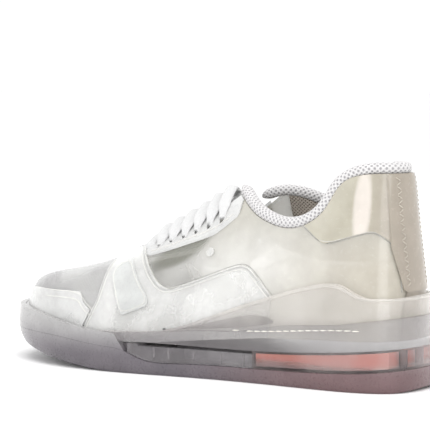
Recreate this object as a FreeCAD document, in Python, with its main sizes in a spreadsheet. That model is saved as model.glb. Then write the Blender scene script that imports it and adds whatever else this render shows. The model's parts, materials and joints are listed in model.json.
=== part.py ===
import FreeCAD, Part
import math
import os

from FreeCAD import Placement, Rotation, Vector

# Left low-top trainer with a see-through moulded upper on a cup sole with a heel air unit.
# Millimetres. +X points to the toe, +Y to the outer (lateral) side of the foot, +Z up.
# The origin is on the ground, under the middle of the shoe's bounding box.
#
# The foot-shaped solid that a shoe is built round is called the last. Each layer of the
# upper is the space between two lasts of different thickness, trimmed by an outline.

doc = FreeCAD.newDocument("trainer")

# ---------------------------------------------------------------- driving dimensions
SIZES = {
    "shift_x": -0.96,              # moves the finished shoe so that its box is centred
    "shift_y": -0.77,
    "reach": 90.0,                 # how far a side trimming block runs outwards
    "tall": 200.0,                 # how far an upright trimming block runs
    "seam_gap": 0.06,              # half the gap where two side panels meet at the heel
    "layer_gap": 0.12,
    "lining_thick": 1.4,
    "panel_thick": 1.2,
    "overlay_thick": 1.0,
    "trim_thick": 0.9,
    "collar_pad_depth": 2.4,
    "collar_lining_thick": 0.9,
    "tongue_clear": 0.9,           # room between the tongue and the lining above it
    "tongue_shell_thick": 1.0,
    "tongue_pad_thick": 2.5,
    "tongue_lining_thick": 0.7,
    "cup_thick": 2.5,
    "wing_thick": 0.8,
    "footbed_clear": 2.2,          # room round the footbed
    "strobel_thick": 1.9,
    "footbed_thick": 4.2,
    "footbed_cover_thick": 0.9,
    "sole_wall": 4.0,              # width of the outsole's rim round the midsole
    "air_recess": 1.0,             # the air unit sits this far inside the sole's side
    "air_wall": 1.5,
    "post_radius": 2.6,
    "lace_thick": 1.1,
    "eyelet_radius": 1.7,
    "lace_leg_radius": 1.3,
    "rivet_radius": 2.6,
    "stitch_radius": 0.45,
    "stitch_length": 3.4,
    "groove_depth": 2.4,
    "groove_width": 2.2,
}

sheet = doc.addObject("Spreadsheet::Sheet", "Sizes")
for row, (alias, value) in enumerate(SIZES.items(), start=1):
    sheet.set(f"A{row}", alias)
    sheet.set(f"B{row}", str(value))
    sheet.setAlias(f"B{row}", alias)
doc.recompute()


def size(alias):
    """A driving dimension, read from the sheet."""
    return float(sheet.get(alias))


def bind(obj, prop, alias):
    """Tie a property to a cell of the sheet."""
    obj.setExpression(prop, f"Sizes.{alias}")


# ---------------------------------------------------------------- shape of the last
# Outline of the last at the ground, heel to toe, for each side of the foot.
LAST_OUTLINE = {
    "lateral": [(-140.5, 0), (-140.5, 18), (-129, 34), (-100, 38), (-55, 37), (-5, 40),
                (38, 49), (80, 53), (113, 46), (135.5, 28), (142.5, 8), (142.5, -6)],
    "medial": [(-140.5, 0), (-140.5, -15), (-128, -31), (-100, -34.5), (-55, -31), (-5, -33),
               (38, -45), (80, -51), (113, -49), (135.5, -34), (142.5, -20), (142.5, -6)],
}
# Line along the top of the foot, where the two sides meet, one point for each outline point.
RIDGE = [(-111, 0, 152), (-99, 0, 150), (-72, 0, 142), (-38, 0, 128), (-5, 0, 108),
         (27, -1, 90), (57, -2, 74), (84, -3, 62), (105, -4, 56.5), (119, -5, 50),
         (129, -5.5, 44), (133, -6, 41.5)]
# Half sections: (share of the way in from outline to ridge, share of the ridge height).
SECTIONS = {
    "heel": [(0, 0), (-0.05, 0.16), (0.03, 0.34), (0.16, 0.54), (0.26, 0.74), (0.32, 0.9),
             (0.55, 1.0), (1, 1)],
    "instep": [(0, 0), (-0.02, 0.2), (0.04, 0.42), (0.16, 0.62), (0.34, 0.8), (0.56, 0.94),
               (0.8, 1.0), (1, 1)],
    "toe": [(0, 0), (0, 0.3), (0, 0.55), (0.02, 0.82), (0.12, 1.0), (0.36, 1.01),
            (0.7, 1.0), (1, 1)],
}
HEEL_TO_INSTEP = (-75, -10)        # the section changes over these stretches of X
INSTEP_TO_TOE = (45, 110)
LAST_FLOOR = -5                    # the last reaches this far below the ground
DEGREE = 3


def ease(x, start, end):
    """0 before start, 1 after end, smooth between."""
    t = min(max((x - start) / (end - start), 0.0), 1.0)
    return t * t * (3 - 2 * t)


def half_section(x):
    """The half section at x, mixed from the three named ones."""
    toe = ease(x, *INSTEP_TO_TOE)
    instep = ease(x, *HEEL_TO_INSTEP) * (1 - toe)
    shares = (("heel", 1 - toe - instep), ("instep", instep), ("toe", toe))
    points = []
    for row in range(len(SECTIONS["heel"])):
        inward = sum(share * SECTIONS[name][row][0] for name, share in shares)
        height = sum(share * SECTIONS[name][row][1] for name, share in shares)
        points.append((inward, height))
    return points


def last_net(side):
    """Control points of one half of the last, rows from the ground to the ridge."""
    net = []
    for (x, y), ridge in zip(LAST_OUTLINE[side], RIDGE):
        column = []
        for inward, height in half_section((x + ridge[0]) / 2):
            px = x + (ridge[0] - x) * inward
            py = y + (ridge[1] - y) * inward
            column.append(Vector(px, py, ridge[2] * height))
        net.append(column)
    return close_smoothly(net)


def close_smoothly(net):
    """The columns beside the heel and toe seams share the seam's X and Z, so no crease forms."""
    for seam, beside in ((0, 1), (-1, -2)):
        for row, point in enumerate(net[seam]):
            net[beside][row] = Vector(point.x, net[beside][row].y, point.z)
    return net


def outward(net, column, row, side):
    """Direction out of the last at one control point."""
    ends = len(net) - 1
    top = len(net[0]) - 1
    if row == top:
        return Vector(0, 0, 1)
    along = net[min(column + 1, ends)][row] - net[max(column - 1, 0)][row]
    up = net[column][min(row + 1, top)] - net[column][max(row - 1, 0)]
    normal = up.cross(along) if side == "lateral" else along.cross(up)
    if row == 0:
        normal.z = 0
    if column in (0, ends):
        normal.y = 0
    if normal.Length < 1e-6:
        return Vector(0, 0, 1)
    return normal.normalize()


def thickened(net, thickness, side):
    """The net moved outwards, for the next layer of the upper."""
    moved = []
    for column in range(len(net)):
        line = []
        for row in range(len(net[0])):
            line.append(net[column][row] + outward(net, column, row, side) * thickness)
        moved.append(line)
    moved = close_smoothly(moved)
    # A thicker last ends higher, so that one never shares its floor with the next.
    for line in moved:
        line[0].z = LAST_FLOOR + thickness / 4
    return moved


def spline_face(net):
    """A smooth face with these control points."""
    knots = []
    mults = []
    for count in (len(net), len(net[0])):
        knots.append([float(k) for k in range(count - DEGREE + 1)])
        mults.append([DEGREE + 1] + [1] * (count - DEGREE - 1) + [DEGREE + 1])
    surface = Part.BSplineSurface()
    surface.buildFromPolesMultsKnots(net, mults[0], mults[1], knots[0], knots[1],
                                     False, False, DEGREE, DEGREE)
    return surface.toShape()


def row_edge(net, row):
    """The edge along one end row of a net."""
    line = [column[row] for column in net]
    curve = Part.BSplineCurve()
    mults = [DEGREE + 1] + [1] * (len(line) - DEGREE - 1) + [DEGREE + 1]
    knots = [float(k) for k in range(len(line) - DEGREE + 1)]
    curve.buildFromPolesMultsKnots(line, mults, knots, False, DEGREE)
    return curve.toShape()


def closed_solid(lateral, medial, flat_rows):
    """Two half skins and a flat face over each flat end row."""
    faces = [spline_face(lateral), spline_face(medial)]
    for row in flat_rows:
        faces.append(Part.Face(Part.Wire([row_edge(lateral, row), row_edge(medial, row)])))
    skin = Part.makeCompound(faces)
    skin.sewShape()
    solid = Part.Solid(skin.Shells[0])
    if solid.Volume < 0:
        solid.reverse()
    return solid


def last_solid(name, thickness):
    """The last, thickened by this much. A free-form skin, so its shape is set directly."""
    halves = [thickened(last_net(side), thickness, side) for side in ("lateral", "medial")]
    obj = doc.addObject("Part::Feature", name)
    obj.Shape = closed_solid(halves[0], halves[1], [0])
    return obj


# ---------------------------------------------------------------- shape of the sole
SOLE_OUTLINE = {
    "lateral": [(-151, 0), (-151, 22), (-139, 39), (-105, 45), (-60, 44), (-10, 47.5),
                (35, 57), (80, 61), (120, 52), (146, 32), (153, 8), (153, -6)],
    "medial": [(-151, 0), (-151, -20), (-139, -37.5), (-105, -42), (-60, -38), (-10, -41),
               (35, -52.5), (80, -59), (120, -56), (146, -38), (153, -20), (153, -6)],
}
# Rows up the side: (height, how far in, share of the toe's lift).
SOLE_ROWS = [(-20, 8, 0), (-4, 5, 1), (1, 1.6, 1), (7, 0, 0.95), (18, -0.4, 0.7),
             (32, 1.0, 0.4), (46, 3.0, 0.2), (80, 7.5, 0)]
TOE_LIFT_START = 45
TOE_LIFT = 15.0
TOE_LIFT_LENGTH = 100
TOE_TAPER = (40, 120)              # only the toe end narrows towards its top edge
HEEL_TAPER_SHARE = 0.3


def toe_lift(x):
    """How high the ground side of the sole has curled up at x."""
    return TOE_LIFT * max((x - TOE_LIFT_START) / TOE_LIFT_LENGTH, 0.0) ** 1.5


def sole_net(side, inset):
    """Control points of one side wall of the sole, moved inwards by inset."""
    outline = [Vector(x, y, 0) for x, y in SOLE_OUTLINE[side]]
    turn = 1 if side == "lateral" else -1
    net = []
    for index, point in enumerate(outline):
        before = outline[max(index - 1, 0)]
        after = outline[min(index + 1, len(outline) - 1)]
        inward = Vector(0, 0, -turn).cross(after - before).normalize()
        if index in (0, len(outline) - 1):
            inward = Vector(1 if index == 0 else -1, 0, 0)
        taper = HEEL_TAPER_SHARE + (1 - HEEL_TAPER_SHARE) * ease(point.x, *TOE_TAPER)
        column = []
        for row, (height, inwards, lift_share) in enumerate(SOLE_ROWS):
            share = taper if row > 4 else 1
            spot = point + inward * (inwards * share + inset)
            spot.z = height + lift_share * toe_lift(point.x)
            column.append(spot)
        net.append(column)
    for seam, beside in ((0, 1), (-1, -2)):
        for row in range(len(SOLE_ROWS)):
            net[beside][row].x = net[seam][row].x
            net[beside][row].z = net[seam][row].z
    return net


def sole_solid(name, inset):
    """Everything inside the sole's side, moved in by inset."""
    obj = doc.addObject("Part::Feature", name)
    obj.Shape = closed_solid(sole_net("lateral", inset), sole_net("medial", inset), [0, -1])
    return obj


# ---------------------------------------------------------------- outlines and blocks
SIDE_VIEW = Rotation(Vector(1, 0, 0), 90)      # sketch X is X, sketch Y is Z
TOP_VIEW = Rotation()                          # sketch X is X, sketch Y is Y
REAR_VIEW = Rotation(Vector(0, 0, 1), 90) * Rotation(Vector(1, 0, 0), 90)   # sketch X is Y


NEARLY_STRAIGHT = 0.03             # a turn this small, in radians, is left unrounded


def corner_cut(corner, towards, length):
    """Where a rounded corner begins, on the way from corner to towards."""
    run = towards - corner
    return corner + run * (min(length, 0.45 * run.Length) / run.Length)


def rounded_edges(points, length):
    """A closed outline of straight runs; each corner is cut back by length and rounded."""
    corners = [Vector(x, y, 0) for x, y in points]
    count = len(corners)
    edges = []
    for index, corner in enumerate(corners):
        previous = corners[index - 1]
        following = corners[(index + 1) % count]
        before = corner_cut(corner, previous, length)
        after = corner_cut(corner, following, length)
        if (corner - previous).getAngle(following - corner) < NEARLY_STRAIGHT:
            edges.append(Part.LineSegment(before, after))
        else:
            edges.append(Part.Arc(before, (before + after) * 0.25 + corner * 0.5, after))
        edges.append(Part.LineSegment(after, corner_cut(following, corner, length)))
    return edges


def smooth(points):
    """A line through these points as one smooth curve."""
    return [points]


def straight(points):
    """A line through these points as straight runs."""
    return [[start, end] for start, end in zip(points, points[1:])]


def raised(line, rise):
    """The same line, higher."""
    return [[(x, z + rise) for x, z in run] for run in line]


def pushed_up(line, gap):
    """The same line moved square to its own run, to its upper side."""
    moved = []
    for run in line:
        spots = []
        for index, (x, z) in enumerate(run):
            before_x, before_z = run[max(index - 1, 0)]
            after_x, after_z = run[min(index + 1, len(run) - 1)]
            along = after_x - before_x
            climb = after_z - before_z
            share = gap / math.hypot(along, climb)
            spots.append((x - climb * share, z + along * share))
        moved.append(spots)
    return moved


def turned_back(line):
    """The same line, from its end to its start."""
    return [run[::-1] for run in line[::-1]]


def area(low, high):
    """The outline between a low line and a high line, both given from heel to toe."""
    runs = low + [[low[-1][-1], high[-1][-1]]] + turned_back(high) + [[high[0][0], low[0][0]]]
    edges = []
    for run in runs:
        points = [Vector(x, z, 0) for x, z in run]
        if len(points) == 2:
            edges.append(Part.LineSegment(*points))
        else:
            curve = Part.BSplineCurve()
            curve.interpolate(points)
            edges.append(curve)
    return edges


def sketch(name, edges, view, base=Vector(0, 0, 0)):
    """A sketch that holds one closed outline."""
    obj = doc.addObject("Sketcher::SketchObject", name)
    for edge in edges:
        obj.addGeometry(edge, False)
    obj.Placement = Placement(base, view)
    return obj


def block(name, edges, view, direction, length="reach", start=0.0, both=False):
    """A trimming block: the outline pushed out along a direction."""
    base = direction * start
    obj = doc.addObject("Part::Extrusion", name)
    obj.Base = sketch(name + "_outline", edges, view, base)
    obj.DirMode = "Custom"
    obj.Dir = direction
    bind(obj, "LengthFwd", length)
    if both:
        bind(obj, "LengthRev", length)
    obj.Solid = True
    return obj


OUT = {"lateral": Vector(0, 1, 0), "medial": Vector(0, -1, 0)}


def side_block(name, edges, side):
    """A block seen from the side, on one side of the foot only."""
    return block(name, edges, SIDE_VIEW, OUT[side], start=size("seam_gap"))


def cross_block(name, edges):
    """A block seen from the side that runs right across the shoe."""
    return block(name, edges, SIDE_VIEW, OUT["lateral"], both=True)


def top_block(name, edges):
    """A block seen from above."""
    return block(name, edges, TOP_VIEW, Vector(0, 0, 1), length="tall")


# ---------------------------------------------------------------- booleans and nodes
nodes = []


def combine(kind, name, base, tool):
    """A boolean of two objects: Common, Cut or Fuse."""
    obj = doc.addObject("Part::" + kind, name)
    obj.Base = base
    obj.Tool = tool
    return obj


def common(name, base, tool):
    return combine("Common", name, base, tool)


def cut(name, base, tool):
    return combine("Cut", name, base, tool)


def fuse(name, base, tool):
    return combine("Fuse", name, base, tool)


def group(name, members):
    """Several separate solids in one object."""
    obj = doc.addObject("Part::Compound", name)
    obj.Links = members
    return obj


def node(label, obj):
    """Mark a finished piece: its label is its file name."""
    obj.Label = label
    nodes.append(obj)
    return obj


def stretch(name, base, start, end):
    """The part of a piece between two places along the shoe."""
    box = doc.addObject("Part::Box", name + "_limits")
    box.Length = end - start
    bind(box, "Width", "tall")
    bind(box, "Height", "tall")
    box.Placement.Base = Vector(start, -size("tall") / 2, -size("tall") / 4)
    return common(name, base, box)


def upright(name, radius, foot, height):
    """An upright cylinder whose radius is a cell of the sheet."""
    obj = doc.addObject("Part::Cylinder", name)
    bind(obj, "Radius", radius)
    obj.Height = height
    obj.Placement.Base = foot
    return obj


# ---------------------------------------------------------------- layers of the upper
gap = size("layer_gap")
lining_top = size("lining_thick")
panel_floor = lining_top + gap
panel_top = panel_floor + size("panel_thick")
overlay_floor = panel_top + gap
overlay_top = overlay_floor + size("overlay_thick")
trim_floor = overlay_top + gap
trim_top = trim_floor + size("trim_thick")
wing_top = trim_floor + size("wing_thick")
cup_floor = wing_top + gap
cup_top = cup_floor + size("cup_thick")
lace_low = overlay_top + 3 * gap
lace_mid = lace_low + size("lace_thick")
lace_high = lace_mid + gap
lace_top = lace_high + size("lace_thick")
pad_floor = -size("collar_pad_depth")
collar_lining_top = pad_floor - gap
collar_lining_floor = collar_lining_top - size("collar_lining_thick")
binding_floor = collar_lining_floor
binding_top = overlay_top + 0.6
tongue_top = -size("tongue_clear")
tongue_pad_top = tongue_top - size("tongue_shell_thick") - gap
tongue_lining_top = tongue_pad_top - size("tongue_pad_thick") - gap
tongue_floor = tongue_lining_top - size("tongue_lining_thick")


def layer(name, floor, top):
    """The space between two lasts."""
    outer = last_solid(name + "_outer", top)
    inner = last_solid(name + "_inner", floor)
    return cut(name, outer, inner)


lining_layer = layer("lining_layer", 0.0, lining_top)
panel_layer = layer("panel_layer", panel_floor, panel_top)
overlay_layer = layer("overlay_layer", overlay_floor, overlay_top)
trim_layer = layer("trim_layer", trim_floor, trim_top)
wing_layer = layer("wing_layer", trim_floor, wing_top)
cup_layer = layer("cup_layer", cup_floor, cup_top)

# ---------------------------------------------------------------- long lines of the shoe
BACK = -175                        # beyond the heel
FRONT = 175                        # beyond the toe
RIM = 0.12                         # clearance between stacked pieces

GROUND = (smooth([(BACK, 14), (-150, 2), (-144, 0.4), (-138, 0)])
          + straight([(-138, 0), (45, 0)])
          + smooth([(x, toe_lift(x)) for x in (45, 62, 85, 110, 140, FRONT)]))
TRAY_FLOOR = straight([(BACK, 5.2), (45, 5.2), (70, 7.2), (90, 10.6), (110, 14.2),
                       (130, 18.2), (FRONT, 28)])
OUTSOLE_TOP = smooth([(BACK, 16), (-143, 13.2), (-125, 11.6), (-100, 10.2), (-50, 9),
                      (0, 8.1), (20, 8.4), (29, 11), (37, 14.3), (52, 16.3), (88, 20),
                      (130, 21), (FRONT, 25)])
MIDSOLE_TOP = straight([(BACK, 17.9), (27, 17.9), (28, 19.5), (55, 18.4), (90, 20.9),
                        (120, 25.4), (FRONT, 33.9)])
SHANK_FLOOR = straight([(BACK, 18), (FRONT, 18)])
CUPSOLE_FLOOR = smooth([(BACK, 29), (-117, 24), (-92, 22), (-54, 20.1), (-20, 20), (60, 20)])
FEATHER = straight([(BACK, 30.5), (-100, 29.5), (-60, 28), (-20, 24), (20, 20), (55, 18.5),
                    (90, 21), (120, 25.5), (FRONT, 34)])
GROOVE = smooth([(BACK, 45), (-139, 43.5), (-108, 39.5), (-62, 35), (-46, 31.8), (-20, 30),
                 (14, 27.2), (44, 25.5), (60, 25.5)])
CUP_TOP = smooth([(BACK, 58.5), (-140, 55.5), (-127, 55.3), (-118, 58.8), (-110, 62.7),
                  (-101, 63.5), (-88, 61), (-71, 56.3), (-53, 50.5), (-39, 45.8), (-20, 38.5),
                  (-8, 34), (2, 30.8), (16, 27.6)])
BUMPER_TOP = smooth([(22, 25), (44, 25.2), (67, 26.5), (87, 29.6), (106, 33), (128, 35.2),
                     (150, 36), (FRONT, 36.2)])
CEILING = straight([(BACK, 100), (FRONT, 100)])

THROAT_CORNER = -17                # where the collar's edge meets the throat
ABOVE = 170
TOPLINE = {
    "lateral": smooth([(BACK, 128.4), (-140, 128.4), (-123, 128.2), (-113, 127), (-105, 123.6),
                       (-100, 117.8), (-96.5, 111), (-91.5, 104), (-85, 99), (-77, 95.6),
                       (-66, 94.2), (-55, 96), (-42, 100.5), (-29, 108),
                       (THROAT_CORNER, 116)]),
    "medial": smooth([(BACK, 128.4), (-140, 128.4), (-123, 128.2), (-112, 125.5), (-104, 119.3),
                      (-97, 111.5), (-88, 105.4), (-78, 103.8), (-66, 105.4), (-58, 108),
                      (-50, 110.8), (-41, 111.8), (-33, 110), (-25, 107),
                      (THROAT_CORNER, 104.5)]),
}


def over_throat(edge):
    """From the front end of a collar edge up and forward, clear above the throat."""
    return straight([edge[-1][-1], (THROAT_CORNER + 3, ABOVE), (FRONT, ABOVE)])


HEEL_BREAK = -52                   # the air unit ends and the clear midsole begins
TRAY_END = 128                     # the midsole stops short of the toe bumper
BUMPER_LEAN = [(26.3, 0), (68, 60)]   # rear edge of the bumper, seen from the side
VAMP_SEAM = 60                     # where the vamp meets the quarters, under the saddles

# ---------------------------------------------------------------- sole
sole_outer = sole_solid("sole_outer", 0.0)
sole_pocket = sole_solid("sole_pocket", size("sole_wall"))
sole_filling = sole_solid("sole_filling", size("sole_wall") + RIM)
air_side = sole_solid("air_side", size("air_recess"))
air_room = sole_solid("air_room", size("air_recess") + size("air_wall"))
core_side = sole_solid("core_side", size("air_recess") + size("air_wall") + RIM)
cup_room = last_solid("cup_room", trim_floor)      # the upper's own space inside the sole
upper_space = common("upper_space", cup_room,
                     cross_block("above_feather", area(FEATHER, CEILING)))

TREAD_STEP = 9.0
TREAD_START = -131
TREAD_COUNT = 29
TREAD_SWEEP = 12                   # degrees that each groove leans back from straight across
TREAD_SPINE = 9.0                  # half width of the plain strip under the middle


def tread_grooves():
    """Swept grooves across the ground side, with a plain strip left under the middle."""
    bars = []
    for index in range(TREAD_COUNT):
        x = TREAD_START + index * TREAD_STEP
        for side, sweep in (("lateral", TREAD_SWEEP), ("medial", -TREAD_SWEEP)):
            bar = doc.addObject("Part::Box", f"groove_{side}_{index}")
            bind(bar, "Length", "groove_width")
            bind(bar, "Width", "reach")
            bar.setExpression("Height", "3 * Sizes.groove_depth")
            turn = Rotation(Vector(0, 0, 1), sweep)
            start = TREAD_SPINE if side == "lateral" else -TREAD_SPINE - size("reach")
            foot = toe_lift(x) - 2 * size("groove_depth")
            spot = Vector(x, 0, foot) + turn.multVec(Vector(0, start, 0))
            bar.Placement = Placement(spot, turn)
            bars.append(bar)
    return group("tread_grooves", bars)


def outsole():
    """Rubber outsole: a thin floor, a rim that rises towards the toe, and cut tread."""
    body = common("outsole_body", sole_outer,
                  cross_block("outsole_side", area(GROUND, OUTSOLE_TOP)))
    tray = common("outsole_tray", sole_pocket,
                  cross_block("tray_side", area(TRAY_FLOOR, CEILING)))
    tray = stretch("outsole_tray_end", tray, HEEL_BREAK, TRAY_END)
    hollowed = cut("outsole_hollowed", body, tray)
    treads = common("treads_inside_wall", sole_pocket, tread_grooves())
    node("outsole", cut("outsole_cut", hollowed, treads))


def toe_bumper():
    """Rubber wall that wraps round the toe above the outsole."""
    ring = cut("bumper_ring", sole_outer, sole_pocket)
    wall = common("bumper_wall", ring,
                  cross_block("bumper_side", area(raised(OUTSOLE_TOP, RIM), BUMPER_TOP)))
    lean = rounded_edges(BUMPER_LEAN[::-1] + [(BUMPER_LEAN[0][0], -40), (FRONT, -40),
                                              (FRONT, 60)], 1)
    wall = common("bumper_front", wall, cross_block("bumper_lean", lean))
    node("toe_bumper", cut("bumper_cut", wall, upper_space))


CELL_ROWS = (-32, -14, 4)
CELL_COLUMNS = (-18, 1, 20)
CELL_LENGTH = 12.0
CELL_WIDTH = 15.0
CELL_FLOOR = 8.5


def midsole():
    """Clear midsole from the heel break to the toe, with open cells under the arch."""
    core = common("midsole_core", sole_filling, cross_block(
        "midsole_side", area(raised(TRAY_FLOOR, RIM), MIDSOLE_TOP)))
    core = stretch("midsole_length", core, HEEL_BREAK + RIM, TRAY_END - RIM)
    skirt = common("midsole_skirt", air_side, cross_block(
        "skirt_side", area(raised(OUTSOLE_TOP, RIM), MIDSOLE_TOP)))
    skirt = stretch("midsole_skirt_length", skirt, HEEL_BREAK + RIM, BUMPER_LEAN[0][0] + 8)
    cells = []
    for x in CELL_ROWS:
        for y in CELL_COLUMNS:
            cell = doc.addObject("Part::Box", f"midsole_cell_{len(cells)}")
            cell.Length = CELL_LENGTH
            cell.Width = CELL_WIDTH
            cell.Height = 2 * CELL_FLOOR
            cell.Placement.Base = Vector(x - CELL_LENGTH / 2, y - CELL_WIDTH / 2, CELL_FLOOR)
            cells.append(cell)
    whole = fuse("midsole_whole", core, skirt)
    node("midsole", cut("midsole_cut", whole, group("midsole_cells", cells)))


def shank_plate():
    """Stiff plate under the arch, between the midsole and the cup sole."""
    plan = top_block("shank_plan", rounded_edges(
        [(-48, -26), (-5, -26), (12, -30), (12, 37), (-5, 33), (-48, 30)], 5))
    slab = cross_block("shank_side", area(SHANK_FLOOR, raised(CUPSOLE_FLOOR, -RIM)))
    node("shank_plate", common("shank_cut", plan, slab))


CORE_BACK = -139.0
POST_X = -142.6
POST_PLACES = (-20, 0, 20)


def air_unit():
    """Clear air unit in the heel: a sealed bag, its tinted core and the posts behind it."""
    wall = size("air_wall")
    bag_side = cross_block("bag_side", area(raised(OUTSOLE_TOP, RIM),
                                            raised(CUPSOLE_FLOOR, -RIM)))
    room_side = cross_block("bag_room_side", area(raised(OUTSOLE_TOP, RIM + wall),
                                                  raised(CUPSOLE_FLOOR, -RIM - wall)))
    core_limits = cross_block("core_limits", area(raised(OUTSOLE_TOP, 2 * RIM + wall),
                                                  raised(CUPSOLE_FLOOR, -2 * RIM - wall)))
    bag = stretch("bag_length", common("bag_body", air_side, bag_side), BACK, HEEL_BREAK)
    room = stretch("bag_room", common("bag_room_body", air_room, room_side),
                   BACK, HEEL_BREAK - wall)
    node("air_unit", cut("air_unit_cut", bag, room))
    core = common("core_body", core_side, core_limits)
    node("air_unit_core", stretch("core_length", core, CORE_BACK, HEEL_BREAK - wall - RIM))
    posts = [upright(f"post_{y}", "post_radius", Vector(POST_X, y, 0), 40)
             for y in POST_PLACES]
    node("air_unit_posts", common("posts_cut", group("post_rods", posts), core_limits))


def cupsole():
    """Clear cup sole: a floor under the foot and the side wall up to the groove."""
    body = common("cupsole_body", sole_outer,
                  cross_block("cupsole_side", area(CUPSOLE_FLOOR, GROOVE)))
    lean = rounded_edges([(x - 0.25, z) for x, z in BUMPER_LEAN] + [(BACK, 60), (BACK, 0)], 1)
    body = common("cupsole_rear", body, cross_block("cupsole_lean", lean))
    node("cupsole", cut("cupsole_cut", body, upper_space))


def heel_cup():
    """Clear stabiliser that grips the heel, with a wave along its top edge."""
    side = cross_block("heel_cup_side", area(raised(GROOVE, RIM), CUP_TOP))
    node("heel_cup", common("heel_cup_cut", common("heel_cup_body", cup_layer, sole_outer),
                            side))


ARCH_WING = [(14, 28.4), (-8, 31.5), (-30, 37.5), (-48, 41.5), (-60, 41), (-66, 38),
             (-60, 36.2), (-46, 33.8), (-20, 31)]


def arch_wings():
    """Dark wings inside the cup wall, one each side of the arch."""
    for side in OUT:
        wing = side_block("arch_wing_side_" + side, rounded_edges(ARCH_WING, 3), side)
        node("arch_wing_" + side, common("arch_wing_cut_" + side, wing_layer, wing))


# ---------------------------------------------------------------- insole
STROBEL_TOP = RIM + size("strobel_thick")
FOOTBED_FLOOR = STROBEL_TOP + RIM
FOOTBED_TOP = FOOTBED_FLOOR + size("footbed_thick")
COVER_TOP = FOOTBED_TOP + RIM + size("footbed_cover_thick")


def insole_slab(label, last, low, high):
    """A sheet that fills the last between two heights above the feather line."""
    side = cross_block(label + "_side", area(raised(FEATHER, low), raised(FEATHER, high)))
    node(label, common(label + "_cut", last, side))


def insole():
    """Insole board, then the loose footbed and the cloth bonded to its top."""
    board_room = last_solid("board_room", -gap)
    footbed_room = last_solid("footbed_room", -size("footbed_clear"))
    insole_slab("strobel_board", board_room, RIM, STROBEL_TOP)
    insole_slab("footbed", footbed_room, FOOTBED_FLOOR, FOOTBED_TOP)
    insole_slab("footbed_cover", footbed_room, FOOTBED_TOP + RIM, COVER_TOP)


# ---------------------------------------------------------------- upper
THROAT = [(62, -2), (60, 8), (54, 13.5), (42, 15.5), (10, 15.5), (-12, 14), (-22, 12), (-60, 9),
          (-60, -13), (-22, -16), (-12, -18), (10, -19.5), (42, -19.5), (54, -17.5), (60, -12)]
EYELET_ROWS = 7
EYELET_START = 44
EYELET_STEP = -9.6
EYELET_Y = {"lateral": 19.6, "medial": -23.4}

throat = top_block("throat", rounded_edges(THROAT, 3))
above_feather = {}
for foot_side in OUT:
    outline = area(raised(FEATHER, RIM),
                   TOPLINE[foot_side] + over_throat(TOPLINE[foot_side]))
    above_feather[foot_side] = side_block("upper_side_" + foot_side, outline, foot_side)


def eyelets(side):
    """Upright punches for one side's lace holes."""
    punches = []
    for row in range(EYELET_ROWS):
        spot = Vector(EYELET_START + row * EYELET_STEP, EYELET_Y[side], 50)
        punches.append(upright(f"eyelet_{side}_{row}", "eyelet_radius", spot, 90))
    return group("eyelets_" + side, punches)


eyelet_holes = {side: eyelets(side) for side in OUT}


def toe_box():
    """Clear vamp panel over the toes, and the mesh lining under it."""
    front = cross_block("vamp_side", area(raised(FEATHER, RIM), CEILING))
    panel = cut("toe_box_open", common("toe_box_body", panel_layer, front), throat)
    node("toe_box", stretch("toe_box_cut", panel, VAMP_SEAM + RIM, FRONT))
    lining = cut("vamp_lining_open", common("vamp_lining_body", lining_layer, front), throat)
    node("vamp_lining", stretch("vamp_lining_cut", lining, VAMP_SEAM - 10, FRONT))


TOE_CAP = [(FRONT, 42), (143, 44), (132, 46.8), (118, 48.5), (77, 48.5), (72.5, 41),
           (67, 37.5), (71.5, 27), (71.5, 20), (FRONT, 20)]


def toe_cap():
    """Overlay round the toe, stepped down to the bite line at the ball of the foot."""
    cap = common("toe_cap_body", overlay_layer,
                 cross_block("toe_cap_side", rounded_edges(TOE_CAP, 2)))
    node("toe_cap", common("toe_cap_cut", cap,
                           cross_block("toe_cap_foot", area(raised(FEATHER, RIM), CEILING))))


def quarters():
    """Clear side panels from the vamp seam round to the heel seam."""
    for side in OUT:
        body = common("quarter_body_" + side, panel_layer, above_feather[side])
        body = stretch("quarter_length_" + side, body, BACK, VAMP_SEAM)
        body = cut("quarter_throat_" + side, body, throat)
        node("quarter_" + side, cut("quarter_cut_" + side, body, eyelet_holes[side]))


SADDLE = [(69.8, 27), (62.8, 44), (63, 57), (66, 68), (67, 95), (54, 95), (53, 80), (42, 73),
          (30, 61.5), (22, 55), (13, 52.5), (-34, 70.5), (-43, 69.5), (-61, 53), (-61, 15),
          (69.8, 15)]
PATCH = [(43, 35.5), (26, 42.5), (28, 48), (36, 55.5), (51, 71), (59, 66.5), (58, 60),
         (53, 52.5), (47, 42)]
WING_INSERT = [(3, 24), (2, 49), (-34, 64.5), (-38, 63), (-52, 46), (-52, 24)]
EYESTAY = {
    "lateral": [(50.5, 10), (41.5, 25.5), (13, 24), (-10, 23.5), (-27, 20.5), (-27, 5),
                (30, 5)],
    "medial": [(50.5, -14), (41.5, -29.5), (13, -28), (-10, -27.5), (-27, -24.5), (-27, -9),
               (30, -9)],
}
EYESTAY_GAP = 0.4                  # the saddle stops this far short of the eyestay


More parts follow.
